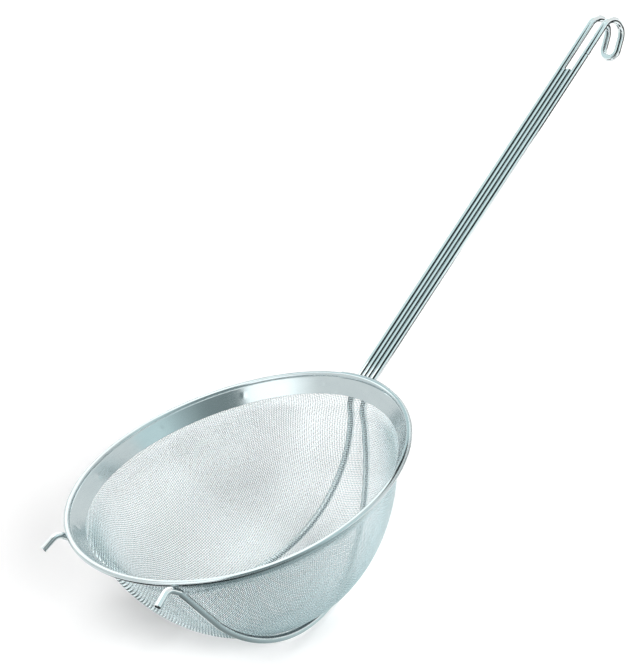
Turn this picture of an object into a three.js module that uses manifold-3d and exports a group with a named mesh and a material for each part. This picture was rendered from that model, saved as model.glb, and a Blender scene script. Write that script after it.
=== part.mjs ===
import * as THREE from 'three';
import { mergeVertices } from 'three/addons/utils/BufferGeometryUtils.js';
import Module from 'manifold-3d';

// A round mesh skimmer: a bowl of woven wire cloth held in a rolled sheet-steel rim,
// carried by two bent wires that cradle the bowl, run side by side up the handle and
// meet in a hanging hook. Two straight filler wires stiffen the handle between them.
// Millimetres, +Z up, handle towards +X, the part mirrored about the plane Y = 0.

// Rim
const rimDiameter = 260;
const beadDiameter = 4.6;
const sheetThickness = 0.6;
const bandInset = 12.6;
const bandDrop = 10.8;
const curlEndAngle = -120;

// Bowl of wire cloth
const bowlDepth = 120.4;
const clothThickness = 0.9;
const clothRunOn = 6.6;
const bowlFullness = 1.95;
const bowlCentreHeight = 5;
const bowlLean = 3.4;
const openingsAcross = 10;
const openingPitch = 32;
const openingWidth = 24.5;
const openingDepth = 3;
const openingMargin = 6;
const clothTurn = 45;

// Wires
const frameWireDiameter = 5.2;
const fillerWireDiameter = 4.4;
const weldGap = 0.1;
const clearance = 0.3;

// Handle and hanging hook
const handleRise = 24;
const handleLength = 352;
const cradleBend = 12;
const fillerLength = 305;
const jointFromHook = 30;
const hookRadius = 12;
const hookTurn = 155;
const hookDrop = 9;

// Front hooks
const climbDepth = 53;
const climbAngle = 33.6;
const frontHookStem = 14;
const frontHookAngle = 30.5;
const frontHookFoot = 1.6;
const frontHookDrop = 6.4;
const frontHookCrest = 9;
const frontHookRise = 1.5;
const frontHookReach = 22.3;
const frontHookTip = -3.7;
const frontHookSplay = 2.7;
const footBend = 4;
const crestBend = 7;

// Facets
const wireSides = 12;
const ringSegments = 48;
const bendStep = 15;
const cradleSteps = 24;
const wallSteps = 10;
const curlStep = 30;

const rad = THREE.MathUtils.degToRad;
const rimRadius = rimDiameter / 2;
const beadRadius = beadDiameter / 2;
const wireRadius = frameWireDiameter / 2;
const beadCentre = new THREE.Vector2(rimRadius - beadRadius, 0);

const steel = (colour, roughness) =>
  new THREE.MeshStandardMaterial({ color: colour, roughness, metalness: 1 });
const sheetSteel = steel(0xc8d2d4, 0.22);
const clothSteel = steel(0xb9c4c6, 0.35);
const wireSteel = steel(0xcfd6d7, 0.16);

// The band's middle line, in the section plane (radius, height): from its lower edge
// up to where it runs on into the curl of the bead
const curlRadius = beadRadius - sheetThickness / 2;
const bandFoot = new THREE.Vector2(rimRadius - bandInset, -bandDrop);
const footFromBead = bandFoot.clone().sub(beadCentre);
const curlStartAngle = footFromBead.angle() - Math.acos(curlRadius / footFromBead.length());
const onCurl = (angle, radius) =>
  new THREE.Vector2(Math.cos(angle), Math.sin(angle)).multiplyScalar(radius).add(beadCentre);
const bandTop = onCurl(curlStartAngle, curlRadius);
const bandUp = bandTop.clone().sub(bandFoot).normalize();
const bandOut = new THREE.Vector2(bandUp.y, -bandUp.x);
const besideBand = (along, out) =>
  bandFoot.clone().addScaledVector(bandUp, along).addScaledVector(bandOut, out);

// A closed ring or bowl turned about Z from its section
function turned(section) {
  const geometry = new THREE.LatheGeometry(section, ringSegments);
  geometry.rotateX(Math.PI / 2);
  return geometry;
}

// Rim: a strip of sheet steel whose lower part is the sloping band inside the cloth
// and whose upper edge curls outwards over the cloth's edge, open underneath
function rimSection() {
  const half = sheetThickness / 2;
  const sweep = curlStartAngle - rad(curlEndAngle);
  const steps = Math.ceil(sweep / rad(curlStep));
  const outside = [];
  const inside = [];
  for (let i = 0; i <= steps; i += 1) {
    const angle = curlStartAngle - (sweep * i) / steps;
    outside.push(onCurl(angle, curlRadius + half));
    inside.push(onCurl(angle, curlRadius - half));
  }
  const section = [besideBand(0, half), ...inside, ...outside.reverse(), besideBand(0, -half)];
  section.push(section[0].clone());
  return section;
}

// Bowl: the cloth starts inside the curl, runs down along the band and a little past its
// lower edge, and then hangs as a deep round bowl. The wall is a quarter of a full ellipse
// whose centre lies just above the rim.
const clothOut = sheetThickness / 2 + clearance + clothThickness / 2;
const wallTop = besideBand(-clothRunOn, clothOut);
const wallDepth = bowlDepth + bowlCentreHeight - clothThickness / 2;
const wallTopDepth = bowlCentreHeight - wallTop.y;
const fullShare = (share) => (1 - Math.min(share, 1) ** bowlFullness) ** (1 / bowlFullness);
const wallWidth = wallTop.x / fullShare(wallTopDepth / wallDepth);
const wallRadiusAt = (depth, offset) => (wallWidth + offset) * fullShare(depth / (wallDepth + offset));
const wallDepthAt = (radius, offset) => (wallDepth + offset) * fullShare(radius / (wallWidth + offset));

function clothFace(offset) {
  const bandLength = bandTop.clone().sub(bandFoot).length();
  const face = [besideBand(bandLength + clothThickness / 2, clothOut + offset)];
  const topRadius = wallRadiusAt(wallTopDepth, offset);
  for (let i = 0; i <= wallSteps; i += 1) {
    const radius = topRadius * Math.cos((Math.PI / 2) * (i / wallSteps));
    face.push(new THREE.Vector2(radius, bowlCentreHeight - wallDepthAt(radius, offset)));
  }
  face[face.length - 1].x = 0;
  return face;
}

// The pressed bowl hangs a little towards the front hooks, more the deeper it goes
function leanForward(depth) {
  return (-bowlLean * Math.max(depth - wallTopDepth, 0)) / (wallDepth - wallTopDepth);
}

function bowlShell() {
  const half = clothThickness / 2;
  const section = [...clothFace(half).reverse(), ...clothFace(-half)];
  const geometry = turned(section);
  const position = geometry.attributes.position;
  for (let i = 0; i < position.count; i += 1) {
    position.setX(i, position.getX(i) + leanForward(bowlCentreHeight - position.getZ(i)));
  }
  return geometry;
}

// The bowl's wall from its lowest point up, moved in or out by an offset
const wallCurve = (offset) => new THREE.Path(clothFace(offset).slice(1).reverse());
const wallLength = wallCurve(0).getLength();

// A place on the pressed cloth from its place on the flat cloth, measured from the middle
function onCloth(curve, across, along) {
  const turn = Math.atan2(along, across) + rad(clothTurn);
  const wall = curve.getPoint(Math.min(Math.hypot(across, along) / wallLength, 1));
  const lean = leanForward(bowlCentreHeight - wall.y);
  return new THREE.Vector3(wall.x * Math.cos(turn) + lean, wall.x * Math.sin(turn), wall.y);
}

// The openings between the cloth's wires, as a coarse grid of them: a six-sided block through
// the wall for each one whose middle lies below the rim
function openingBlocks() {
  const curves = [wallCurve(-openingDepth), wallCurve(openingDepth)];
  const half = openingWidth / 2;
  const first = (openingPitch * (1 - openingsAcross)) / 2;
  const blocks = [];
  for (let column = 0; column < openingsAcross; column += 1) {
    for (let row = 0; row < openingsAcross; row += 1) {
      const across = first + column * openingPitch;
      const along = first + row * openingPitch;
      if (Math.hypot(across, along) < wallLength - openingMargin) {
        const corners = curves.flatMap((curve) => [
          onCloth(curve, across - half, along - half),
          onCloth(curve, across + half, along - half),
          onCloth(curve, across + half, along + half),
          onCloth(curve, across - half, along + half),
        ]);
        blocks.push(blockGeometry(corners));
      }
    }
  }
  return blocks;
}

function blockGeometry(corners) {
  const faces = [0, 1, 2, 0, 2, 3, 4, 6, 5, 4, 7, 6];
  for (let k = 0; k < 4; k += 1) {
    const next = (k + 1) % 4;
    faces.push(k, k + 4, next + 4, k, next + 4, next);
  }
  return meshFrom(corners.flatMap((corner) => corner.toArray()), faces);
}

function meshFrom(positions, faces) {
  const geometry = new THREE.BufferGeometry();
  geometry.setAttribute('position', new THREE.Float32BufferAttribute(positions, 3));
  geometry.setIndex(faces);
  geometry.computeVertexNormals();
  return geometry;
}

// A geometry as a solid that others can be cut from, without the lathe's doubled corners
const wasm = await Module();
wasm.setup();

function solidOf(geometry) {
  const bare = geometry.clone();
  bare.deleteAttribute('normal');
  bare.deleteAttribute('uv');
  const merged = mergeVertices(bare);
  const faces = [];
  for (let i = 0; i < merged.index.count; i += 3) {
    const corners = [merged.index.getX(i), merged.index.getX(i + 1), merged.index.getX(i + 2)];
    if (new Set(corners).size === 3) {
      faces.push(...corners);
    }
  }
  const vertProperties = merged.attributes.position.array;
  return new wasm.Manifold(new wasm.Mesh({ numProp: 3, vertProperties, triVerts: Uint32Array.from(faces) }));
}

// The cloth keeps an unbroken edge where it lies behind the band
function bowlGeometry() {
  const belowEdge = new THREE.BoxGeometry(rimDiameter, rimDiameter, 2 * bowlDepth);
  belowEdge.translate(0, 0, wallTop.y - openingMargin - bowlDepth);
  const openRoom = solidOf(belowEdge);
  const openings = openingBlocks().map((block) => solidOf(block).intersect(openRoom));
  const cloth = openings.reduce((rest, opening) => rest.subtract(opening), solidOf(bowlShell())).getMesh();
  return meshFrom(Array.from(cloth.vertProperties), Array.from(cloth.triVerts));
}

// Centre points of a wire that turns at each corner on the bend radius given there
function bentPath(corners) {
  const points = [corners[0].at];
  for (let i = 1; i < corners.length - 1; i += 1) {
    const { at, bend = 0 } = corners[i];
    const into = at.clone().sub(corners[i - 1].at).normalize();
    const away = corners[i + 1].at.clone().sub(at).normalize();
    const angle = into.angleTo(away);
    if (bend === 0 || angle < rad(1)) {
      points.push(at);
      continue;
    }
    const axis = into.clone().cross(away).normalize();
    const start = at.clone().addScaledVector(into, -bend * Math.tan(angle / 2));
    const centre = start.clone().addScaledVector(axis.clone().cross(into), bend);
    points.push(...arc(start, centre, axis, angle));
  }
  points.push(corners[corners.length - 1].at);
  return points;
}

function arc(start, centre, axis, angle) {
  const steps = Math.ceil(angle / rad(bendStep));
  const points = [];
  for (let i = 0; i <= steps; i += 1) {
    const arm = start.clone().sub(centre).applyAxisAngle(axis, (angle * i) / steps);
    points.push(arm.add(centre));
  }
  return points;
}

// A round wire as a closed many-sided bar along its centre points. A flat of the bar
// faces firstUp at the first point, and the bar doesn't twist along its way.
function wireGeometry(points, diameter, firstUp) {
  const up = firstUp.clone();
  const corners = [];
  points.forEach((point, i) => {
    const before = point.clone().sub(points[Math.max(i - 1, 0)]).normalize();
    const after = points[Math.min(i + 1, points.length - 1)].clone().sub(point).normalize();
    const along = before.add(after).normalize();
    up.addScaledVector(along, -up.dot(along)).normalize();
    const side = along.clone().cross(up);
    for (let k = 0; k < wireSides; k += 1) {
      const angle = ((k + 0.5) / wireSides) * 2 * Math.PI;
      const corner = point.clone().addScaledVector(up, (Math.cos(angle) * diameter) / 2);
      corners.push(corner.addScaledVector(side, (Math.sin(angle) * diameter) / 2));
    }
  });
  const faces = [];
  const last = (points.length - 1) * wireSides;
  for (let ring = 0; ring < last; ring += wireSides) {
    for (let k = 0; k < wireSides; k += 1) {
      const next = (k + 1) % wireSides;
      const [a, b, c, d] = [ring + k, ring + next, ring + wireSides + next, ring + wireSides + k];
      faces.push(a, b, c, a, c, d);
    }
  }
  for (let k = 1; k < wireSides - 1; k += 1) {
    faces.push(0, k + 1, k, last, last + k, last + k + 1);
  }
  return meshFrom(corners.flatMap((corner) => corner.toArray()), faces);
}

// Handle: the wires run side by side in one flat ribbon that passes under the bead.
// side is 1 for the left wire, towards +Y, and -1 for the right one.
const handleAlong = new THREE.Vector3(Math.cos(rad(handleRise)), 0, Math.sin(rad(handleRise)));
const handleUp = new THREE.Vector3(-handleAlong.z, 0, handleAlong.x);
const underBead = beadRadius + wireRadius + clearance;
const handleFoot = new THREE.Vector3(beadCentre.x, 0, 0).addScaledVector(handleUp, -underBead);
const legOffset = fillerWireDiameter + wireRadius + weldGap * 1.5;
const fillerOffset = fillerWireDiameter / 2 + weldGap / 2;
const fillerLift = wireRadius - fillerWireDiameter / 2;
const onHandle = (along, sideways, lift = 0) =>
  handleFoot.clone()
    .addScaledVector(handleAlong, along)
    .addScaledVector(handleUp, lift)
    .add(new THREE.Vector3(0, sideways, 0));

// Cradle: each frame wire leaves the handle under the bead, follows the outside of the
// cloth down beside its fellow, spreads under the bowl and leaves the front wall half-way
// up to climb straight to its hook under the bead
const wireOut = clothThickness / 2 + clearance + wireRadius;
const wireTop = besideBand(-clothRunOn, clothOut + wireOut);
const cradleStart = wallRadiusAt(bowlCentreHeight - wireTop.y + cradleBend * 0.6, wireOut);
const aroundRim = (radius, angle, height) =>
  new THREE.Vector3(radius * Math.cos(angle), radius * Math.sin(angle), height);
const frontAngle = (side) => side * rad(180 - frontHookAngle);

function cradlePoints(side) {
  const cradleEnd = wallRadiusAt(bowlCentreHeight + climbDepth, wireOut);
  const frontSpread = cradleEnd * Math.sin(rad(climbAngle));
  const startX = Math.sqrt(cradleStart ** 2 - legOffset ** 2);
  const endX = -cradleEnd * Math.cos(rad(climbAngle));
  const points = [];
  for (let i = 0; i <= cradleSteps; i += 1) {
    const x = (startX + endX) / 2 + ((startX - endX) / 2) * Math.cos((Math.PI * i) / cradleSteps);
    const share = (startX - x) / (startX - endX);
    const y = legOffset + (frontSpread - legOffset) * Math.sin((Math.PI / 2) * share);
    const depth = wallDepthAt(Math.hypot(x, y), wireOut);
    points.push(new THREE.Vector3(x + leanForward(depth), side * y, bowlCentreHeight - depth));
  }
  return points;
}

// Front hook: the wire's end comes up under the bead, rises past it and dips again, so
// that it catches the edge of a pot. Both hooks point forward and a little outwards.
function frontHookCorners(side) {
  const foot = aroundRim(beadCentre.x, frontAngle(side), 0);
  const ahead = (forward, height, outwards = 0) =>
    new THREE.Vector3(foot.x - forward, foot.y + side * outwards, height);
  return [
    { at: ahead(frontHookFoot, -frontHookDrop), bend: footBend },
    { at: ahead(frontHookCrest, frontHookRise), bend: crestBend },
    { at: ahead(frontHookReach, frontHookTip, frontHookSplay) },
  ];
}

function cradleCorners(side) {
  const foot = new THREE.Vector2(handleFoot.x, handleFoot.z).sub(bandFoot);
  const along = new THREE.Vector2(handleAlong.x, handleAlong.z);
  const inFromFoot = (foot.dot(bandOut) - clothOut - wireOut) / along.dot(bandOut);
  const wallX = Math.sqrt(wireTop.x ** 2 - legOffset ** 2);
  return [
    { at: onHandle(-inFromFoot, side * legOffset), bend: cradleBend },
    { at: new THREE.Vector3(wallX, side * legOffset, wireTop.y), bend: cradleBend },
    ...cradlePoints(side).map((at) => ({ at })),
  ];
}

// One frame wire runs from the hanging hook to the tip of its front hook. It is kept as
// three lengths that meet end to end: the straight leg, the cradle and the front hook.
const jointAlong = handleLength - jointFromHook;

function frameWirePaths(side) {
  const leg = [onHandle(jointAlong - weldGap / 2, side * legOffset), onHandle(weldGap / 2, side * legOffset)];
  const cradle = cradleCorners(side);
  const hook = frontHookCorners(side);
  const climb = hook[0].at.clone().sub(cradle[cradle.length - 1].at).normalize();
  const meeting = hook[0].at.clone().addScaledVector(climb, -frontHookStem);
  const halfGap = climb.multiplyScalar(weldGap / 2);
  const cradleHead = { at: onHandle(-weldGap / 2, side * legOffset) };
  const cradleTail = { at: meeting.clone().sub(halfGap) };
  const hookFoot = { at: meeting.clone().add(halfGap) };
  return {
    leg,
    cradle: bentPath([cradleHead, ...cradle, cradleTail]),
    frontHook: bentPath([hookFoot, ...hook]),
  };
}

// Hanging hook: a hairpin that carries the right leg on over the crook, down, round the
// eye and back to the left leg
function hangingHookPath() {
  const crookAxis = new THREE.Vector3(0, 1, 0);
  const start = onHandle(handleLength, -legOffset);
  const crookCentre = start.clone().addScaledVector(handleUp, -hookRadius);
  const crook = arc(start, crookCentre, crookAxis, rad(hookTurn));
  const heading = handleAlong.clone().applyAxisAngle(crookAxis, rad(hookTurn));
  const eyeStart = crook[crook.length - 1].clone().addScaledVector(heading, hookDrop);
  const eyeAxis = heading.clone().cross(crookAxis).normalize();
  const eye = arc(eyeStart, eyeStart.clone().setY(0), eyeAxis, Math.PI);
  const rightHalf = [onHandle(jointAlong + weldGap / 2, -legOffset), ...crook];
  const leftHalf = rightHalf.map((point) => point.clone().setY(-point.y)).reverse();
  return [...rightHalf, ...eye, ...leftHalf];
}

function fillerPath(side) {
  const sideways = side * fillerOffset;
  return [onHandle(0, sideways, fillerLift), onHandle(fillerLength, sideways, fillerLift)];
}

const skimmer = new THREE.Group();

function addPiece(name, geometry, material) {
  const mesh = new THREE.Mesh(geometry, material);
  mesh.name = name;
  skimmer.add(mesh);
}

addPiece('mesh_bowl', bowlGeometry(), clothSteel);
addPiece('rim_band', turned(rimSection()), sheetSteel);
addPiece('hanging_hook', wireGeometry(hangingHookPath(), frameWireDiameter, handleUp), wireSteel);
for (const [hand, side] of [['left', 1], ['right', -1]]) {
  const wire = frameWirePaths(side);
  const worldUp = new THREE.Vector3(0, 0, 1);
  addPiece(`handle_leg_${hand}`, wireGeometry(wire.leg, frameWireDiameter, handleUp), wireSteel);
  addPiece(`cradle_wire_${hand}`, wireGeometry(wire.cradle, frameWireDiameter, handleUp), wireSteel);
  addPiece(`front_hook_${hand}`, wireGeometry(wire.frontHook, frameWireDiameter, worldUp), wireSteel);
  addPiece(`filler_wire_${hand}`, wireGeometry(fillerPath(side), fillerWireDiameter, handleUp), wireSteel);
}

// The skimmer stands on its bowl, with the origin on the floor below the middle of its box
const box = new THREE.Box3().setFromObject(skimmer);
const middle = box.getCenter(new THREE.Vector3());
skimmer.position.set(-middle.x, 0, -box.min.z);

export default skimmer;
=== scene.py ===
import math

import bpy
import numpy as np
from mathutils import Matrix, Vector


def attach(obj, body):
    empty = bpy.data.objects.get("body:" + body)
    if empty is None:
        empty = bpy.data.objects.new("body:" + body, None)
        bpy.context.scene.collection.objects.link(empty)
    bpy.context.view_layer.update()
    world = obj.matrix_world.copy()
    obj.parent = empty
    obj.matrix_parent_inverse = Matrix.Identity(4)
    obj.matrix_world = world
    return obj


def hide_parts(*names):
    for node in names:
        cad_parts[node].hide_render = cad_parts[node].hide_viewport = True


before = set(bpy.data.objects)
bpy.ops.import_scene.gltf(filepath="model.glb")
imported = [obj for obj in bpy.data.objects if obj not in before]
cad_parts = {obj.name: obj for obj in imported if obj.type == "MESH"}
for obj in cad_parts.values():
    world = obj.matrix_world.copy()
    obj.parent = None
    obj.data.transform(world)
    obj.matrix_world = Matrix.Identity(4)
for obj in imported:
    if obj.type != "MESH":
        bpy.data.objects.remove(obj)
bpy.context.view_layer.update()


# The camera stands in front of the bowl, to its right and above it, where the photograph
# was taken from, and looks through a long lens at a frame of 638 by 671 pixels.

photo_width = 638
lens_pixels = 2200
sensor_width = 36
farthest_seen = 60
camera_place = (-0.873999, -1.1696, 0.9177)
camera_back = Vector((-0.5044, -0.7287, 0.4633)).normalized()
camera_head = Vector((0.5034, 0.1877, 0.8434))
camera_right = camera_head.cross(camera_back).normalized()
camera_up = camera_back.cross(camera_right)
camera_turn = Matrix((camera_right, camera_up, camera_back)).transposed().to_4x4()

lens = bpy.data.cameras.new("lens")
lens.sensor_fit = "HORIZONTAL"
lens.sensor_width = sensor_width
lens.lens = sensor_width * lens_pixels / photo_width
lens.clip_end = farthest_seen
camera = bpy.data.objects.new("camera", lens)
bpy.context.scene.collection.objects.link(camera)
camera.matrix_world = Matrix.Translation(camera_place) @ camera_turn
bpy.context.scene.camera = camera


# The rim is one strip of satin stainless sheet: a sloping band inside the cloth, rolled outwards
# at its top over the cloth's edge into a bead. Its two ends lap beside the handle and are
# spot-welded. Sizes are in millimetres from the middle of the bead's ring.

rim_middle = np.array([-168.69898, 0.0, 120.4])
rim_radius = 130.0
bead_radius = 2.3
sheet_thickness = 0.6
band_inset = 12.6
band_drop = 10.8
band_foot = np.array([rim_radius - band_inset, -band_drop])
bead_centre = np.array([rim_radius - bead_radius, 0.0])
curl_radius = bead_radius - sheet_thickness / 2
curl_start = math.radians(190)
curl_end = math.radians(-120)
band_top = bead_centre + curl_radius * np.array([math.cos(curl_start), math.sin(curl_start)])
band_length = np.linalg.norm(band_top - band_foot)
band_up = (band_top - band_foot) / band_length
band_out = np.array([band_up[1], -band_up[0]])

twist_along = 1.57
twist_across = 2.1
twist_begins = (40, 118)
twist_ends = (132, 190)
lap_start = math.radians(8.5)
lap_length = math.radians(14)
lap_fade = math.radians(16)
lap_step = 0.64
rim_steps = 1120
band_steps = 24
curl_steps = 40
sharp_edge = math.radians(38)
wave_heights = {3: 0.10, 7: 0.07, 13: 0.04}
wave_starts = {3: 0.7, 7: 2.1, 13: 0.0}
lap_spot_degrees = [3.0, -4.5]
first_spot_degrees = 14.7
spot_spacing_degrees = 32.73
spot_count = 11
spot_depth = 0.16
spot_radius = 2.0
spot_ring_radius = 120
spot_height = 0.52 * band_length


def beside_band(along, out):
    return band_foot + band_up * along + band_out * out


def smooth_step(value, low, high):
    share = np.clip((value - low) / (high - low), 0, 1)
    return share * share * (3 - 2 * share)


def placed(points):
    """Points in metres in the frame, with the slight twist that this rim has."""
    points = np.array(points, dtype=float)
    reach = np.hypot(points[:, 0], points[:, 1])
    turn = 2 * np.arctan2(points[:, 1], points[:, 0])
    hold = smooth_step(reach, *twist_begins) * (1 - smooth_step(reach, *twist_ends))
    points[:, 2] += hold * (twist_along * np.cos(turn) - twist_across * np.sin(turn))
    return (points + rim_middle) / 1000


def swept_piece(name, rings, along, around):
    """A closed bar through rings of points, with its run along and around kept as a UV map."""
    count, sides = rings.shape[:2]
    ring, side = np.meshgrid(np.arange(count - 1), np.arange(sides), indexing="ij")
    ring = ring.ravel()
    side = side.ravel()
    here = ring * sides + side
    after = ring * sides + (side + 1) % sides
    walls = np.stack([here, after, after + sides, here + sides], 1)
    run = np.stack([along[ring], along[ring], along[ring + 1], along[ring + 1]], 1)
    turn = np.stack([around[side], around[side + 1], around[side + 1], around[side]], 1)
    rung = np.arange(sides // 2 - 1)
    start = np.stack([rung, sides - 1 - rung, sides - 2 - rung, rung + 1], 1)
    end = start[:, ::-1] + (count - 1) * sides
    quads = np.concatenate([walls, start, end])
    flat = np.zeros((2 * len(rung), 4))
    uv = np.stack([np.concatenate([run, flat]), np.concatenate([turn, flat])], -1)
    return quad_piece(name, rings.reshape(-1, 3), quads, uv)


def quad_piece(name, points, quads, uv=None):
    """A smooth mesh of four-cornered faces that look outwards."""
    first, second, third, fourth = (points[quads[:, corner]] for corner in range(4))
    volume = (np.cross(first, second) * third).sum() + (np.cross(first, third) * fourth).sum()
    if volume < 0:
        quads = quads[:, ::-1]
        uv = None if uv is None else uv[:, ::-1]
    mesh = bpy.data.meshes.new(name)
    mesh.vertices.add(len(points))
    mesh.vertices.foreach_set("co", placed(points).astype(np.float32).ravel())
    mesh.loops.add(quads.size)
    mesh.loops.foreach_set("vertex_index", quads.astype(np.int32).ravel())
    mesh.polygons.add(len(quads))
    mesh.polygons.foreach_set("loop_start", np.arange(0, quads.size, 4, dtype=np.int32))
    mesh.update(calc_edges=True)
    mesh.shade_smooth()
    if uv is not None:
        layer = mesh.uv_layers.new(name="run")
        layer.uv.foreach_set("vector", uv.astype(np.float32).ravel())
        mesh.set_sharp_from_angle(angle=sharp_edge)
    piece = bpy.data.objects.new(name, mesh)
    bpy.context.scene.collection.objects.link(piece)
    return piece


def rolled_strip():
    """The strip's section carried round the rim, with its lap, its slight waves and its weld spots."""
    band_share = np.linspace(0, 1, band_steps, endpoint=False)
    on_band = band_foot + np.outer(band_share * band_length, band_up)
    band_face = np.tile(-band_out, (len(on_band), 1))
    curl_angle = np.linspace(curl_start, curl_end, curl_steps)
    curl_face = np.stack([np.cos(curl_angle), np.sin(curl_angle)], 1)
    on_curl = bead_centre + curl_radius * curl_face
    line = np.concatenate([on_band, on_curl])
    face = np.concatenate([band_face, curl_face])
    run = np.concatenate([[0], np.cumsum(np.linalg.norm(np.diff(line, axis=0), axis=1))])

    travelled = np.linspace(0, 2 * math.pi + lap_length, rim_steps)
    angle = lap_start - travelled
    lift = lap_step * (1 - smooth_step(travelled, lap_length, lap_length + lap_fade))
    wave = sum(wave_heights[count] * np.sin(count * angle + wave_starts[count]) for count in wave_heights)
    dent = np.zeros((rim_steps, len(line)))
    round_spots = [first_spot_degrees + spot_spacing_degrees * number for number in range(spot_count)]
    for spot in lap_spot_degrees + round_spots:
        off = (np.degrees(angle) - spot + 180) % 360 - 180
        away = np.hypot(np.radians(off)[:, None] * spot_ring_radius, run[None, :] - spot_height)
        dent += spot_depth * np.exp(-((away / spot_radius) ** 2))
    slack = np.clip(1 - run / band_length, 0, 1)
    face_shift = lift[:, None] + wave[:, None] * slack[None, :] - dent * (run < band_length)

    half = sheet_thickness / 2
    rings = []
    for side in (half, -half):
        radius = line[None, :, 0] + face[None, :, 0] * (face_shift + side)
        height = line[None, :, 1] + face[None, :, 1] * (face_shift + side)
        turned = np.stack(
            [radius * np.cos(angle)[:, None], radius * np.sin(angle)[:, None], height], -1
        )
        rings.append(turned if side > 0 else turned[:, ::-1])
    rings = np.concatenate(rings, 1)
    around = np.concatenate([run, run[::-1], [0]])
    return swept_piece("rolled_rim", rings, travelled * rim_radius, around)


class Shade:
    """A value on its way through the nodes of one material, which Python can reckon with."""

    def __init__(self, tree, socket=None):
        self.tree = tree
        self.socket = socket

    def node(self, kind, settings=None, sockets=None, out=0):
        made = self.tree.nodes.new(kind)
        for name, value in (settings or {}).items():
            if name == "stops":
                ramp = made.color_ramp
                while len(ramp.elements) < len(value):
                    ramp.elements.new(0.5)
                for stop, (place, colour) in zip(ramp.elements, value):
                    stop.position = place
                    stop.color = colour
            else:
                setattr(made, name, value)
        for name, value in (sockets or {}).items():
            if isinstance(value, Shade):
                self.tree.links.new(value.socket, made.inputs[name])
            else:
                made.inputs[name].default_value = value
        return Shade(self.tree, made.outputs[out] if len(made.outputs) else None)

    def reckon(self, operation, first, second=0.0):
        return self.node("ShaderNodeMath", {"operation": operation}, {0: first, 1: second})

    def __add__(self, other):
        return self.reckon("ADD", self, other)

    def __radd__(self, other):
        return self.reckon("ADD", other, self)

    def __mul__(self, other):
        return self.reckon("MULTIPLY", self, other)

    def __rmul__(self, other):
        return self.reckon("MULTIPLY", other, self)

    def stretched(self, scale):
        return self.node("ShaderNodeMapping", {"vector_type": "POINT"}, {"Vector": self, "Scale": scale})

    def grain(self, detail, roughness):
        return self.node(
            "ShaderNodeTexNoise",
            {"noise_dimensions": "3D"},
            {"Vector": self, "Scale": 1.0, "Detail": detail, "Roughness": roughness},
        )

    def between(self, low, high):
        low, high = (colour if isinstance(colour, Shade) else (*colour, 1) for colour in (low, high))
        return self.node(
            "ShaderNodeMix",
            {"data_type": "RGBA", "blend_type": "MIX"},
            {0: self, 6: low, 7: high},
            out=2,
        )


def new_material(name):
    material = bpy.data.materials.new(name)
    material.use_nodes = True
    material.node_tree.nodes.clear()
    return material, Shade(material.node_tree)


satin_dark = (0.49, 0.565, 0.58)
satin_light = (0.57, 0.64, 0.65)
roller_lines = (0.012, 3.2, 1)
satin_clouds = (0.035, 0.09, 1)
satin_specks = (0.9, 0.9, 1)


def satin_sheet():
    """Steel with fine lines along it from the rollers, soft clouds and small specks."""
    material, shade = new_material("satin_sheet")
    run = shade.node("ShaderNodeUVMap", {"uv_map": "run"})
    rolled = run.stretched(roller_lines).grain(3.0, 0.6)
    cloud = run.stretched(satin_clouds).grain(3.0, 0.55)
    speck = run.stretched(satin_specks).grain(2.0, 0.6)
    bump = shade.node(
        "ShaderNodeBump",
        None,
        {"Strength": 0.09, "Distance": 0.0002, "Height": rolled + 0.5 * speck},
    )
    steel = shade.node(
        "ShaderNodeBsdfPrincipled",
        None,
        {
            "Base Color": cloud.between(satin_dark, satin_light),
            "Metallic": 1.0,
            "Roughness": 0.08 + 0.12 * rolled + 0.05 * speck,
            "Normal": bump,
        },
    )
    shade.node("ShaderNodeOutputMaterial", None, {"Surface": steel})
    return material


rim = rolled_strip()
rim.data.materials.append(satin_sheet())
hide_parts("rim_band")
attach(rim, "root")


# The bowl is plain-woven stainless wire cloth, pressed into a deep round bowl. Each wire
# passes over and under the ones that cross it. The edge of the cloth lies along the outside
# of the band and is gripped inside the rolled bead.

cloth_pitch = 1.7
cloth_wire = 0.40
cloth_turn = math.radians(6)
cloth_shear = 0.9
cloth_sides = 6
cloth_half = 0.45
weld_gap = 0.3
cloth_out = sheet_thickness / 2 + weld_gap + cloth_half
cloth_run_on = 6.6
cloth_in_bead = 0.4
floor_steps = 3000
collar_steps = 400
profile_steps = 4000
soften_steps = 60
shortest_wire = 2
shortest_step = 0.02
shortest_run = 0.01
bowl_centre_height = 5.0
bowl_fullness = 1.95
bowl_lean = 3.4
wall_top = beside_band(-cloth_run_on, cloth_out)
wall_depth = rim_middle[2] + bowl_centre_height - cloth_half
wall_top_depth = bowl_centre_height - wall_top[1]


def full_share(share):
    return (1 - np.minimum(share, 1) ** bowl_fullness) ** (1 / bowl_fullness)


wall_width = wall_top[0] / full_share(wall_top_depth / wall_depth)


def wall_radius_at(depth, out):
    return (wall_width + out) * full_share(depth / (wall_depth + out))


def wall_depth_at(radius, out):
    return (wall_depth + out) * full_share(radius / (wall_width + out))


def lean_forward(depth):
    return -bowl_lean * np.maximum(depth - wall_top_depth, 0) / (wall_depth - wall_top_depth)


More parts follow.
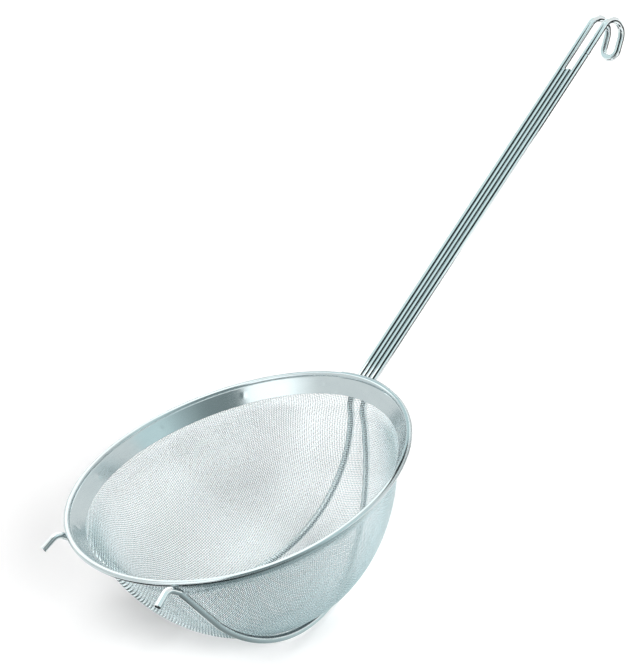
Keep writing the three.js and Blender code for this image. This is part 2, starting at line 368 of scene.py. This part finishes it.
def cloth_profile():
    """The cloth from the middle of the bowl's floor to its edge: run, radius and height."""
    radius = wall_top[0] * np.sin(np.linspace(0, math.pi / 2, floor_steps))
    height = bowl_centre_height - wall_depth_at(radius, 0)
    beside = np.linspace(-cloth_run_on, band_length + cloth_in_bead, collar_steps)[1:]
    collar = band_foot + np.outer(beside, band_up) + band_out * cloth_out
    radius = np.concatenate([radius, collar[:, 0]])
    height = np.concatenate([height, collar[:, 1]])
    run = np.concatenate([[0], np.cumsum(np.hypot(np.diff(radius), np.diff(height)))])
    even = np.linspace(0, run[-1], profile_steps)
    radius = np.interp(even, run, radius)
    height = np.interp(even, run, height)
    soft_width = 2 * soften_steps + 1
    soft = np.ones(soft_width) / soft_width
    for line in (radius, height):
        line[soften_steps:-soften_steps] = np.convolve(line, soft, "valid")
    return even, radius, height


cloth_run, cloth_radius, cloth_height = cloth_profile()
cloth_radius_slope = np.gradient(cloth_radius, cloth_run)
cloth_height_slope = np.gradient(cloth_height, cloth_run)


def on_cloth(run, turn):
    """Where the cloth lies at a run from the bowl's middle and a turn, and the slopes there."""
    past = np.maximum(run - cloth_run[-1], 0)
    radius_slope = np.interp(run, cloth_run, cloth_radius_slope)
    height_slope = np.interp(run, cloth_run, cloth_height_slope)
    radius = np.interp(run, cloth_run, cloth_radius) + past * radius_slope
    height = np.interp(run, cloth_run, cloth_height) + past * height_slope
    point = np.stack([radius * np.cos(turn), radius * np.sin(turn), height], -1)
    onward = np.stack([radius_slope * np.cos(turn), radius_slope * np.sin(turn), height_slope], -1)
    sideways = np.stack([-radius * np.sin(turn), radius * np.cos(turn), 0 * turn], -1)
    return point, onward, sideways


def draped_quarter(count):
    """Run and turn of each crossing in a quarter of the cloth. The wires keep their length when
    the cloth is pressed, so a crossing lies one pitch from the two before it and the weave shears.
    Each crossing starts from a guess, which a few rounds of correction put right."""
    rounds = 12
    first_guess = 0.3 * cloth_pitch
    largest_turn = 0.2
    least_spread = 1e-6
    even = np.arange(count + 1)
    run = cloth_pitch * np.hypot(even[:, None], even[None, :])
    turn = np.arctan2(even[None, :], even[:, None] + 0 * even[None, :]).astype(float)
    flat_run = run.copy()
    flat_turn = turn.copy()
    for diagonal in range(2, 2 * count + 1):
        first = np.arange(max(1, diagonal - count), min(count, diagonal - 1) + 1)
        second = diagonal - first
        before, _, _ = on_cloth(run[first - 1, second], turn[first - 1, second])
        beside, _, _ = on_cloth(run[first, second - 1], turn[first, second - 1])
        corner, _, _ = on_cloth(run[first - 1, second - 1], turn[first - 1, second - 1])
        guess = before + beside - corner
        new_turn = np.arctan2(guess[:, 1], guess[:, 0])
        new_run = np.maximum(run[first - 1, second], run[first, second - 1]) + first_guess
        for _ in range(rounds):
            point, onward, sideways = on_cloth(new_run, new_turn)
            from_before = point - before
            from_beside = point - beside
            long_before = (from_before**2).sum(1) - cloth_pitch**2
            long_beside = (from_beside**2).sum(1) - cloth_pitch**2
            before_by_run = 2 * (from_before * onward).sum(1)
            before_by_turn = 2 * (from_before * sideways).sum(1)
            beside_by_run = 2 * (from_beside * onward).sum(1)
            beside_by_turn = 2 * (from_beside * sideways).sum(1)
            spread = before_by_run * beside_by_turn - before_by_turn * beside_by_run
            spread = np.where(np.abs(spread) < least_spread, least_spread, spread)
            run_change = (beside_by_turn * long_before - before_by_turn * long_beside) / spread
            turn_change = (before_by_run * long_beside - beside_by_run * long_before) / spread
            new_run = new_run - np.clip(run_change, -cloth_pitch, cloth_pitch)
            new_turn = new_turn - np.clip(turn_change, -largest_turn, largest_turn)
        over_edge = np.minimum(run[first - 1, second], run[first, second - 1]) > cloth_run[-1]
        run[first, second] = np.where(over_edge, flat_run[first, second] + cloth_run[-1], new_run)
        turn[first, second] = np.where(over_edge, flat_turn[first, second], new_turn)
    return (
        cloth_shear * run + (1 - cloth_shear) * flat_run,
        cloth_shear * turn + (1 - cloth_shear) * flat_turn,
    )


wire_count = math.floor(cloth_run[-1] / cloth_pitch)
crossing_run, crossing_turn = draped_quarter(wire_count + 2)


def cloth_wire_line(number, past, warp):
    """The middle line of one wire of the weave, over and under, and the way out of the bowl along it."""
    places = np.arange(crossing_run.shape[1])
    quarter_run = crossing_run[abs(number)]
    gap = quarter_run[past] - quarter_run[past - 1]
    half = np.append(np.arange(past), past - 1 + (cloth_run[-1] - quarter_run[past - 1]) / gap)
    half = half[np.append(np.diff(half) > shortest_step, True)]
    steps = np.concatenate([-half[:0:-1], half])
    run = np.interp(np.abs(steps), places, quarter_run)
    quarter = np.interp(np.abs(steps), places, crossing_turn[abs(number)])
    ahead = np.sign(steps) * np.sin(quarter)
    beside = (1 if number >= 0 else -1) * np.cos(quarter)
    turn = (np.arctan2(ahead, beside) if warp else np.arctan2(beside, ahead)) + cloth_turn
    point, onward, sideways = on_cloth(run, turn)
    outward = np.cross(sideways / np.maximum(run, shortest_run)[:, None], onward)
    outward[run < shortest_run] = (0, 0, -1)
    outward /= np.linalg.norm(outward, axis=1, keepdims=True)
    point[:, 0] += lean_forward(bowl_centre_height - point[:, 2])
    over = cloth_wire / 2 * np.cos(math.pi * (steps + number))
    return point + outward * (over if warp else -over)[:, None], outward


def cloth_wire_rings(line, outward):
    """The points of a wire in rings round its middle line."""
    way = np.gradient(line, axis=0)
    way /= np.linalg.norm(way, axis=1, keepdims=True)
    side = np.cross(way, outward)
    side /= np.linalg.norm(side, axis=1, keepdims=True)
    up = np.cross(side, way)
    around = 2 * math.pi * np.arange(cloth_sides) / cloth_sides
    ring = up[:, None] * np.cos(around)[None, :, None] + side[:, None] * np.sin(around)[None, :, None]
    return (line[:, None] + ring * cloth_wire / 2).reshape(-1, 3)


def cloth_wire_quads(count):
    """The faces of a wire through a count of rings: its round wall, then its two cut ends."""
    ring, place = np.meshgrid(np.arange(count - 1), np.arange(cloth_sides), indexing="ij")
    here = (ring * cloth_sides + place).ravel()
    after = (ring * cloth_sides + (place + 1) % cloth_sides).ravel()
    wall = np.stack([here, here + cloth_sides, after + cloth_sides, after], 1)
    rung = np.arange(cloth_sides // 2 - 1)
    start = np.stack([rung, rung + 1, cloth_sides - 2 - rung, cloth_sides - 1 - rung], 1)
    end = start[:, ::-1] + (count - 1) * cloth_sides
    return np.concatenate([wall, start, end])


def woven_wires(name, first, last, warp):
    """The wires of one direction of the weave from one number to another, as one piece."""
    points = []
    quads = []
    made = 0
    for number in range(first, last):
        past = int(np.argmax(crossing_run[abs(number)] > cloth_run[-1]))
        if past < shortest_wire:
            continue
        line, outward = cloth_wire_line(number, past, warp)
        points.append(cloth_wire_rings(line, outward))
        quads.append(made + cloth_wire_quads(len(line)))
        made += len(points[-1])
    return quad_piece(name, np.concatenate(points), np.concatenate(quads))


def drawn_cloth_wire(name, colour):
    material, shade = new_material(name)
    steel = shade.node(
        "ShaderNodeBsdfPrincipled",
        None,
        {
            "Base Color": (*colour, 1),
            "Metallic": 1.0,
            "Roughness": 0.12,
        },
    )
    shade.node("ShaderNodeOutputMaterial", None, {"Surface": steel})
    return material


# Warp and weft are the same steel: the lighter warp is a painted highlight and the darker weft painted
# shade, so the crossings show light and dark.
warp_painted_highlight = (0.87, 0.95, 0.96)
weft_painted_shade = (0.63, 0.72, 0.74)
for direction, warp, colour in (("warp", True, warp_painted_highlight), ("weft", False, weft_painted_shade)):
    cloth_steel = drawn_cloth_wire(f"{direction}_wire", colour)
    for half, first, last in (("near", -wire_count, 0), ("far", 0, wire_count + 1)):
        wires = woven_wires(f"cloth_{direction}_{half}", first, last, warp)
        wires.data.materials.append(cloth_steel)
        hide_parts("mesh_bowl")
        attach(wires, "root")


# Two bright round wires carry the bowl. Each comes down one side of the handle, bends under
# the bead, follows the cloth below the bowl and ends as a small hook at the front. The left
# one also makes the hanging hook, and meets the right one in a butt weld on the right leg.

frame_wire = 5.2
filler_wire = 4.4
handle_rise = math.radians(24)
handle_length = 352.0
joint_along = 322.0
cradle_bend = 12.0
cradle_drop = 0.6 * cradle_bend
hook_radius = 12.0
hook_turn = math.radians(155)
hook_drop = 9.0
climb_depth = 53.0
climb_angle = math.radians(33.6)
cradle_steps = 141
joint_gap = 0.05
leg_gap = 0.15
front_hook_angle = math.radians(30.5)
front_skew = math.radians(0.85)
front_foot = {"ahead": 1.6, "outwards": 0.0, "height": -6.4, "bend": 4.0}
front_crest = {"ahead": 9.0, "outwards": 0.0, "height": 1.5, "bend": 7.0}
front_tip = {"ahead": 22.3, "outwards": 2.7, "height": -3.7, "bend": 0}
handle_along = np.array([math.cos(handle_rise), 0, math.sin(handle_rise)])
handle_up = np.array([-math.sin(handle_rise), 0, math.cos(handle_rise)])
under_bead = bead_radius + frame_wire / 2 + weld_gap
handle_foot = np.array([bead_centre[0], 0, 0]) - handle_up * under_bead
leg_offset = filler_wire + frame_wire / 2 + leg_gap
wire_out = cloth_half + weld_gap + frame_wire / 2
wire_top = beside_band(-cloth_run_on, cloth_out + wire_out)
cradle_radius = wall_radius_at(bowl_centre_height - wire_top[1] + cradle_drop, wire_out)


def on_handle(along, sideways, lift=0.0):
    return handle_foot + handle_along * along + handle_up * lift + np.array([0, sideways, 0])


def turned_about(arm, axis, angle):
    return (
        arm * math.cos(angle)
        + np.cross(axis, arm) * math.sin(angle)
        + axis * np.dot(axis, arm) * (1 - math.cos(angle))
    )


def arc(start, centre, axis, angle, step=math.radians(4)):
    steps = max(math.ceil(angle / step), 2)
    arm = start - centre
    return [centre + turned_about(arm, axis, angle * number / steps) for number in range(steps + 1)]


def bent(corners):
    """The middle line of a wire that turns at each corner on the bend radius given there."""
    points = [corners[0][0]]
    for (before, _), (corner, bend), (after, _) in zip(corners, corners[1:], corners[2:]):
        into = (corner - before) / np.linalg.norm(corner - before)
        away = (after - corner) / np.linalg.norm(after - corner)
        angle = math.acos(np.clip(np.dot(into, away), -1, 1))
        if bend == 0 or angle < math.radians(1):
            points.append(corner)
            continue
        axis = np.cross(into, away)
        axis = axis / np.linalg.norm(axis)
        start = corner - into * bend * math.tan(angle / 2)
        points.extend(arc(start, start + np.cross(axis, into) * bend, axis, angle))
    points.append(corners[-1][0])
    return points


def round_wire(name, points, diameter, sides=28, chamfer=0.35):
    """A round wire along its middle line, with slightly rounded cut ends."""
    steepest = 0.9
    points = np.array(points, dtype=float)
    for end, inner in ((0, 1), (-1, -2)):
        way = points[inner] - points[end]
        way /= np.linalg.norm(way)
        extra = points[end] + way * chamfer
        points = np.insert(points, 1 if end == 0 else len(points) - 1, extra, axis=0)
    step = np.linalg.norm(np.diff(points, axis=0), axis=1)
    along = np.concatenate([[0], np.cumsum(step)])
    way = np.diff(points, axis=0) / step[:, None]
    way = np.concatenate([way[:1], way[:-1] + way[1:], way[-1:]])
    way /= np.linalg.norm(way, axis=1, keepdims=True)
    up = handle_up if abs(np.dot(way[0], handle_up)) < steepest else handle_along
    around = 2 * math.pi * np.arange(sides) / sides
    rings = []
    for number, (point, heading) in enumerate(zip(points, way)):
        up = up - heading * np.dot(up, heading)
        up = up / np.linalg.norm(up)
        side = np.cross(heading, up)
        radius = diameter / 2 - (chamfer if number in (0, len(points) - 1) else 0)
        rings.append(point + radius * (np.outer(np.cos(around), up) + np.outer(np.sin(around), side)))
    return swept_piece(name, np.array(rings), along, np.linspace(0, math.pi * diameter, sides + 1))


def cradle_corners(side):
    """A wire's way from the foot of the handle, down the back of the bowl and under it to the front."""
    foot = np.array([handle_foot[0], handle_foot[2]]) - band_foot
    heading = np.array([handle_along[0], handle_along[2]])
    in_from_foot = (np.dot(foot, band_out) - cloth_out - wire_out) / np.dot(heading, band_out)
    wall_x = math.sqrt(wire_top[0] ** 2 - leg_offset**2)
    corners = [
        (on_handle(-in_from_foot, side * leg_offset), cradle_bend),
        (np.array([wall_x, side * leg_offset, wire_top[1]]), cradle_bend),
    ]
    end_angle = climb_angle + side * front_skew
    end_radius = wall_radius_at(bowl_centre_height + climb_depth, wire_out)
    spread = end_radius * math.sin(end_angle)
    start_x = math.sqrt(cradle_radius**2 - leg_offset**2)
    end_x = -end_radius * math.cos(end_angle)
    for share in np.linspace(0, 1, cradle_steps):
        x = (start_x + end_x) / 2 + (start_x - end_x) / 2 * math.cos(math.pi * share)
        y = leg_offset + (spread - leg_offset) * math.sin(math.pi / 2 * (start_x - x) / (start_x - end_x))
        depth = wall_depth_at(math.hypot(x, y), wire_out)
        corners.append((np.array([x + lean_forward(depth), side * y, bowl_centre_height - depth]), 0))
    return corners


def front_hook_corners(side):
    """The wire's end at the front: under the bead, out over a crest and down to the tip."""
    angle = front_hook_angle + side * front_skew
    foot = bead_centre[0] * np.array([-math.cos(angle), side * math.sin(angle)])
    corners = []
    for corner in (front_foot, front_crest, front_tip):
        x = foot[0] - corner["ahead"]
        y = foot[1] + side * corner["outwards"]
        corners.append((np.array([x, y, corner["height"]]), corner["bend"]))
    return corners


def hanging_hook_points():
    """The wire from the butt joint up the right leg, over the crook, round the eye and back."""
    crook_axis = np.array([0.0, 1.0, 0.0])
    start = on_handle(handle_length, -leg_offset)
    crook = arc(start, start - handle_up * hook_radius, crook_axis, hook_turn)
    heading = turned_about(handle_along, crook_axis, hook_turn)
    eye_start = crook[-1] + heading * hook_drop
    eye_axis = np.cross(heading, crook_axis)
    eye = arc(eye_start, eye_start * np.array([1, 0, 1]), eye_axis / np.linalg.norm(eye_axis), math.pi)
    right_half = [on_handle(joint_along + joint_gap, -leg_offset), *crook]
    left_half = [point * np.array([1, -1, 1]) for point in reversed(right_half)]
    return right_half + eye + left_half[:-1]


wire_dark = (0.67, 0.73, 0.74)
wire_light = (0.78, 0.83, 0.83)
drawn_lines = (0.02, 2.6, 1)
wire_clouds = (0.05, 0.15, 1)
# Painted shade: where a wire faces the bowl's cloth close by, its colour goes towards this dark steel.
painted_shade_steel = (0.10, 0.13, 0.14)
painted_shade_stops = [(0.0, 0.0), (0.25, 1.0), (0.74, 1.0), (0.88, 0.1)]
bowl_middle_depth = 20.0
bowl_middle = (rim_middle[0] / 1000, 0.0, (rim_middle[2] - bowl_middle_depth) / 1000)
bowl_reach = 0.126


def painted_shade_share(shade):
    """How much painted shade the wire gets on its side that faces the bowl's cloth, near where they
    touch.
    """

    def arrow(operation, first, second=(0, 0, 0), out="Vector"):
        return shade.node("ShaderNodeVectorMath", {"operation": operation}, {0: first, 1: second}, out)

    outside = shade.node("ShaderNodeTexCoord", out="Normal")
    inward = arrow("SUBTRACT", bowl_middle, shade.node("ShaderNodeTexCoord", out="Object"))
    facing = arrow("DOT_PRODUCT", outside, arrow("NORMALIZE", inward), out="Value")
    stops = [(place, (share, share, share, 1)) for place, share in painted_shade_stops]
    beside_line = shade.node("ShaderNodeValToRGB", {"stops": stops}, {"Fac": facing})
    return beside_line * shade.reckon("LESS_THAN", arrow("LENGTH", inward, out="Value"), bowl_reach)


def bright_wire():
    """Polished steel with faint lines along it from the drawing die, and painted shade on the side that
    faces the cloth.
    """
    material, shade = new_material("bright_wire")
    run = shade.node("ShaderNodeUVMap", {"uv_map": "run"})
    drawn = run.stretched(drawn_lines).grain(3.0, 0.6)
    cloud = run.stretched(wire_clouds).grain(2.0, 0.5)
    bump = shade.node("ShaderNodeBump", None, {"Strength": 0.06, "Distance": 0.0002, "Height": drawn})
    bright = cloud.between(wire_dark, wire_light)
    steel = shade.node(
        "ShaderNodeBsdfPrincipled",
        None,
        {
            "Base Color": painted_shade_share(shade).between(bright, painted_shade_steel),
            "Metallic": 1.0,
            "Roughness": 0.05 + 0.08 * drawn,
            "Normal": bump,
        },
    )
    shade.node("ShaderNodeOutputMaterial", None, {"Surface": steel})
    return material


wire_steel = bright_wire()


def finished_wire(piece, *nodes):
    piece.data.materials.append(wire_steel)
    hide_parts(*nodes)
    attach(piece, "root")


left_line = hanging_hook_points() + bent(
    [(on_handle(joint_along, leg_offset), 0), *cradle_corners(1), *front_hook_corners(1)]
)
left_wire = round_wire("frame_wire_left", left_line, frame_wire)
finished_wire(left_wire, "hanging_hook", "handle_leg_left", "cradle_wire_left", "front_hook_left")

right_line = bent(
    [(on_handle(joint_along - joint_gap, -leg_offset), 0), *cradle_corners(-1), *front_hook_corners(-1)]
)
right_wire = round_wire("frame_wire_right", right_line, frame_wire)
finished_wire(right_wire, "handle_leg_right", "cradle_wire_right", "front_hook_right")


# Two straight, slightly thinner wires fill the handle between the frame wires. They start
# under the bead, are welded to their neighbours and end in plain cuts below the hook.

filler_length = 305.0
filler_gap = 0.05
filler_sides = 24
filler_chamfer = 0.3
filler_offset = filler_wire / 2 + filler_gap
filler_lift = frame_wire / 2 - filler_wire / 2

for hand, side in (("left", 1), ("right", -1)):
    ends = [on_handle(along, side * filler_offset, filler_lift) for along in (0, filler_length)]
    filler = round_wire(f"filler_{hand}", ends, filler_wire, filler_sides, filler_chamfer)
    finished_wire(filler, f"filler_wire_{hand}")


# The floor is a plain white studio sheet. It belongs to the picture, not to the skimmer.
# A little white of its own, which only the eye and the bright steel see, keeps it clear of grey.

sheet_half = 5.0
paper_white = (0.9, 0.9, 0.9)
paper_glow = (0.15, 0.15, 0.15)


def seen_by_eye(shade):
    """One for rays from the camera, also by way of metal or glass, and nought for other light."""
    kinds = ("Is Camera Ray", "Is Glossy Ray", "Is Transmission Ray")
    camera_ray, glossy_ray, clear_ray = (shade.node("ShaderNodeLightPath", out=kind) for kind in kinds)
    return shade.reckon("MINIMUM", camera_ray + glossy_ray + clear_ray, 1.0)


floor_mesh = bpy.data.meshes.new("floor")
floor_corners = [(x * sheet_half, y * sheet_half, 0) for x, y in ((-1, -1), (1, -1), (1, 1), (-1, 1))]
floor_mesh.from_pydata(floor_corners, [], [(0, 1, 2, 3)])
floor = bpy.data.objects.new("floor", floor_mesh)
bpy.context.scene.collection.objects.link(floor)
floor_paper, paper = new_material("white_paper")
paper_skin = paper.node(
    "ShaderNodeBsdfPrincipled",
    None,
    {
        "Base Color": (*paper_white, 1),
        "Roughness": 1.0,
        "Specular IOR Level": 0.0,
        "Emission Color": seen_by_eye(paper).between((0, 0, 0), paper_glow),
        "Emission Strength": 1.0,
    },
)
paper.node("ShaderNodeOutputMaterial", None, {"Surface": paper_skin})
floor_mesh.materials.append(floor_paper)


# The light is three wide soft lamps in a white room, which only the eye and reflections see. What
# the bright steel mirrors besides the room stands on cards that only reflections see: bright soft
# boxes, a grey side behind the camera, and grey, dark or shaded strips round the skimmer.

room = bpy.data.worlds.new("white_room")
room.use_nodes = True
room.node_tree.nodes.clear()
bpy.context.scene.world = room
light = Shade(room.node_tree)
glow = light.node("ShaderNodeBackground", None, {"Color": (1, 1, 1, 1), "Strength": seen_by_eye(light)})
light.node("ShaderNodeOutputWorld", None, {"Surface": glow})

lamp_width = math.radians(24)
lamps = {
    "lamp_front": ((-0.136, -0.891, 0.433), 3.7),
    "lamp_behind": ((0.778, -0.092, 0.621), 1.6),
    "lamp_left": ((-0.365, -0.433, 0.824), 1.2),
}
for lamp_name, (lamp_way, energy) in lamps.items():
    lamp = bpy.data.lights.new(lamp_name, "SUN")
    lamp.energy = energy
    lamp.angle = lamp_width
    hung = bpy.data.objects.new(lamp_name, lamp)
    bpy.context.scene.collection.objects.link(hung)
    hung.rotation_mode = "QUATERNION"
    hung.rotation_quaternion = Vector(lamp_way).to_track_quat("Z", "Y")
    hung.visible_glossy = False

cool_tint = (0.84, 1.0, 1.02)
white_tint = (1, 1, 1)
strip_grid = (4, 4)
sky_distance = 4.0
sky_middle = rim_middle / 1000
ground_lift = 0.0015
handle_start = (handle_foot + rim_middle) / 1000
handle_slope = math.tan(handle_rise)
strip_lift = 0.105


def mirrored_card(name, point_at, grid, tones, tint=cool_tint):
    """A card that only reflections see, of one tone or of tones that run on along it."""
    columns, rows = grid
    share = [(column / columns, row / rows) for row in range(rows + 1) for column in range(columns + 1)]
    faces = []
    for row in range(rows):
        for column in range(columns):
            first = row * (columns + 1) + column
            faces.append((first, first + 1, first + columns + 2, first + columns + 1))
    mesh = bpy.data.meshes.new(name)
    mesh.from_pydata([point_at(*place) for place in share], [], faces)
    layer = mesh.uv_layers.new(name="share")
    for loop in mesh.loops:
        layer.uv[loop.index].vector = share[loop.vertex_index]
    material, card = new_material(name)
    stops = [(place, (*[part * tone for part in tint], 1)) for place, tone in tones]
    colour = stops[0][1]
    if len(stops) > 1:
        across = card.node("ShaderNodeUVMap", {"uv_map": "share"})
        across = card.node("ShaderNodeSeparateXYZ", None, {"Vector": across}, out="X")
        colour = card.node("ShaderNodeValToRGB", {"stops": stops}, {"Fac": across})
    shine = card.node("ShaderNodeEmission", None, {"Color": colour, "Strength": 1.0})
    card.node("ShaderNodeOutputMaterial", None, {"Surface": shine})
    mesh.materials.append(material)
    made = bpy.data.objects.new(name, mesh)
    bpy.context.scene.collection.objects.link(made)
    made.visible_camera = False
    made.visible_diffuse = False
    made.visible_shadow = False


def in_the_sky(turn_from, turn_to, rise_from, rise_to):
    """Points of a card that stands round the skimmer between two turns and two rises."""

    def point_at(across, along):
        turn = math.radians(turn_from + (turn_to - turn_from) * across)
        rise = math.radians(rise_from + (rise_to - rise_from) * along)
        return (
            sky_distance * math.cos(rise) * math.cos(turn) + sky_middle[0],
            sky_distance * math.cos(rise) * math.sin(turn) + sky_middle[1],
            sky_distance * math.sin(rise) + sky_middle[2],
        )

    return point_at


def on_the_ground(left, right, near, far):
    """Points of a strip that lies on the floor."""

    def point_at(across, along):
        return (left + (right - left) * across, near + (far - near) * along, ground_lift)

    return point_at


def over_the_handle(left, right, near, far):
    """Points of a strip that lies along the handle, a little above it."""

    def point_at(across, along):
        x = left + (right - left) * across
        height = handle_start[2] + strip_lift + handle_slope * (x - handle_start[0])
        return (x, near + (far - near) * along, height)

    return point_at


grey_side = [(0.0, 0.30), (0.35, 0.36), (0.6, 0.7), (0.75, 1.0), (1.0, 1.0)]
mirrored_card("grey_side", in_the_sky(-149, -50, 0, 66), (30, 16), grey_side)

soft_box = [(0.0, 0.9), (0.45, 1.9), (1.0, 1.9)]
bright_box = [(0.0, 1.9)]
mirrored_card("soft_box", in_the_sky(-210, -151, 26, 62), (20, 10), soft_box, white_tint)
mirrored_card("soft_box_above", in_the_sky(-180, 180, 72, 89), (36, 6), bright_box, white_tint)
mirrored_card("soft_box_behind", in_the_sky(5, 105, 20, 71), (30, 12), bright_box, white_tint)

dark_strip = [(0.0, 0.04)]
grey_strip = [(0.0, 0.92)]
mirrored_card("dark_card_above", over_the_handle(-0.06, 0.29, -0.20, -0.006), strip_grid, dark_strip)
mirrored_card("grey_card_above", over_the_handle(-0.04, 0.42, -0.006, 0.60), strip_grid, grey_strip)

shaded_strip = [(0.0, 0.3), (0.55, 0.3), (1.0, 1.0)]
fading_strip = [(0.0, 0.06), (0.8, 0.06), (1.0, 0.8)]
mirrored_card("dark_ground_below", on_the_ground(0.10, 0.24, -0.30, -0.03), strip_grid, dark_strip)
mirrored_card("dark_ground_behind", on_the_ground(0.42, 0.95, -0.55, 0.30), strip_grid, dark_strip)
mirrored_card("shaded_ground_under", on_the_ground(-0.40, -0.12, -0.10, -0.01), strip_grid, shaded_strip)
mirrored_card("shaded_ground_behind", on_the_ground(-0.10, 0.12, 0.03, 0.26), strip_grid, dark_strip)
mirrored_card("dark_ground_left", on_the_ground(-0.62, -0.30, -0.16, 0.12), strip_grid, dark_strip)
mirrored_card("dark_ground_before", on_the_ground(-1.6, -0.08, -1.8, -0.10), strip_grid, fading_strip)

bpy.context.scene.view_settings.view_transform = "Standard"
